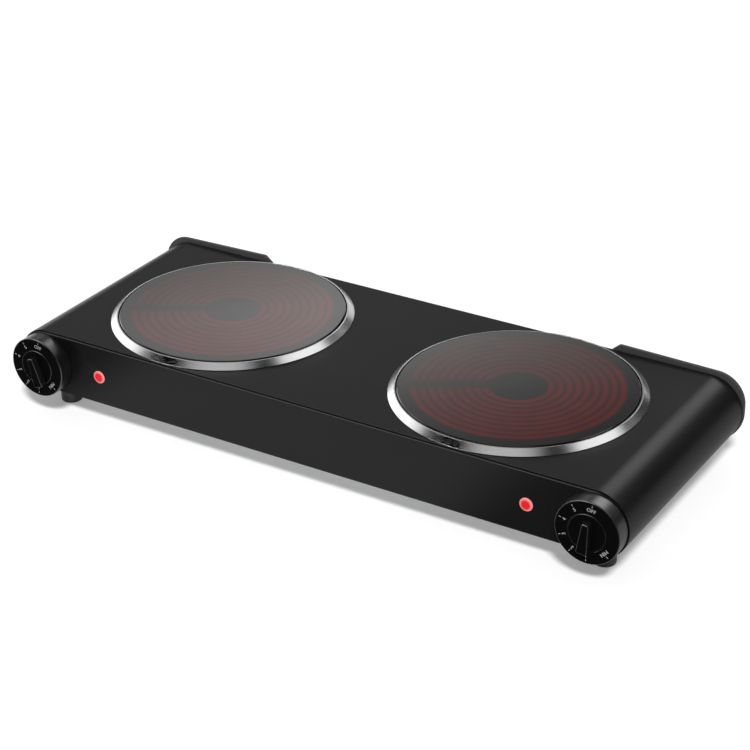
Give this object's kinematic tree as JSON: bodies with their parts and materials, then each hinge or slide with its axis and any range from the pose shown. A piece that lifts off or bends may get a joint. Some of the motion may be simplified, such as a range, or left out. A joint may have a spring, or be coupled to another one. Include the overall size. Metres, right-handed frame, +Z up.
{
  "type": "hot plate burner",
  "caption": "Countertop infrared hot plate: round glass-topped burners with steel trim rings in a low sheet-steel body with rolled ends, rotary heat knobs and pilot lamps.",
  "frame": {"origin": "on the floor under the middle of the whole object's bounding box, at the bottoms of the feet", "axes": "+X along the body from the left control to the right control, -Y towards the front panel with the controls, +Z up"},
  "size_m": [0.5362, 0.2244, 0.0758],
  "materials": {
    "body_enamel": "satin black baked enamel on sheet steel",
    "panel_enamel": "semi-gloss black baked enamel",
    "trim_steel": "spun and polished stainless steel",
    "ceramic_glass": "dark smoked glass ceramic with a smooth fired surface",
    "seal_silicone": "matt black silicone",
    "gloss_black": "glossy black moulded phenolic",
    "scale_ink": "pad-printed white ink of the dial scales",
    "moulded_black": "matt black moulded nylon",
    "lamp_red": "clear red moulded lens",
    "foot_rubber": "black rubber",
    "zinc_sheet": "zinc-coated sheet steel",
    "plated_screw": "zinc-plated steel",
    "brass": "turned brass",
    "insulation": "pressed mineral fibre",
    "heating_alloy": "oxidised heating alloy, glowing dull red",
    "ceramic": "glazed steatite",
    "lead_sleeve": "braided glass-fibre sleeve"
  },
  "bodies": {
    "base": {"base_plate": "zinc_sheet", "base_screw_front_left": "plated_screw", "base_screw_front_right": "plated_screw", "base_screw_rear_left": "plated_screw", "base_screw_rear_right": "plated_screw", "bracket_screw_inner_left": "plated_screw", "bracket_screw_inner_right": "plated_screw", "bracket_screw_outer_left": "plated_screw", "bracket_screw_outer_right": "plated_screw", "cord_gland": "moulded_black", "dial_bezel_left": "gloss_black", "dial_bezel_right": "gloss_black", "element_bracket_left": "zinc_sheet", "element_bracket_right": "zinc_sheet", "element_lead_left": "lead_sleeve", "element_lead_right": "lead_sleeve", "element_pan_left": "zinc_sheet", "element_pan_right": "zinc_sheet", "foot_front_left": "foot_rubber", "foot_front_right": "foot_rubber", "foot_rear_left": "foot_rubber", "foot_rear_right": "foot_rubber", "foot_screw_front_left": "plated_screw", "foot_screw_front_right": "plated_screw", "foot_screw_rear_left": "plated_screw", "foot_screw_rear_right": "plated_screw", "front_panel": "panel_enamel", "gland_nut": "moulded_black", "glass_left": "ceramic_glass", "glass_right": "ceramic_glass", "glass_seal_left": "seal_silicone", "glass_seal_right": "seal_silicone", "heating_ribbon_left": "heating_alloy", "heating_ribbon_right": "heating_alloy", "insulation_left": "insulation", "insulation_right": "insulation", "lamp_holder_left": "moulded_black", "lamp_holder_right": "moulded_black", "lamp_lens_left": "lamp_red", "lamp_lens_right": "lamp_red", "rear_panel": "panel_enamel", "regulator_left": "ceramic", "regulator_right": "ceramic", "regulator_screw_inner_left": "plated_screw", "regulator_screw_inner_right": "plated_screw", "regulator_screw_outer_left": "plated_screw", "regulator_screw_outer_right": "plated_screw", "supply_lead_left": "lead_sleeve", "supply_lead_right": "lead_sleeve", "terminal_block": "ceramic", "thermal_limiter_left": "ceramic", "thermal_limiter_right": "ceramic", "top_cover": "body_enamel", "trim_ring_left": "trim_steel", "trim_ring_right": "trim_steel"},
    "knob_left": {"knob_left": "gloss_black", "regulator_shaft_left": "brass"},
    "knob_right": {"knob_right": "gloss_black", "regulator_shaft_right": "brass"}
  },
  "joints": [
    {"name": "knob_left_turn", "type": "hinge", "parent": "base", "child": "knob_left", "pos_m": [-0.2414, -0.0942, 0.04366], "axis": [0, 1, 0], "range_deg": [-155, 167]},
    {"name": "knob_right_turn", "type": "hinge", "parent": "base", "child": "knob_right", "pos_m": [0.2414, -0.0942, 0.04366], "axis": [0, 1, 0], "range_deg": [-177, 145]}
  ]
}
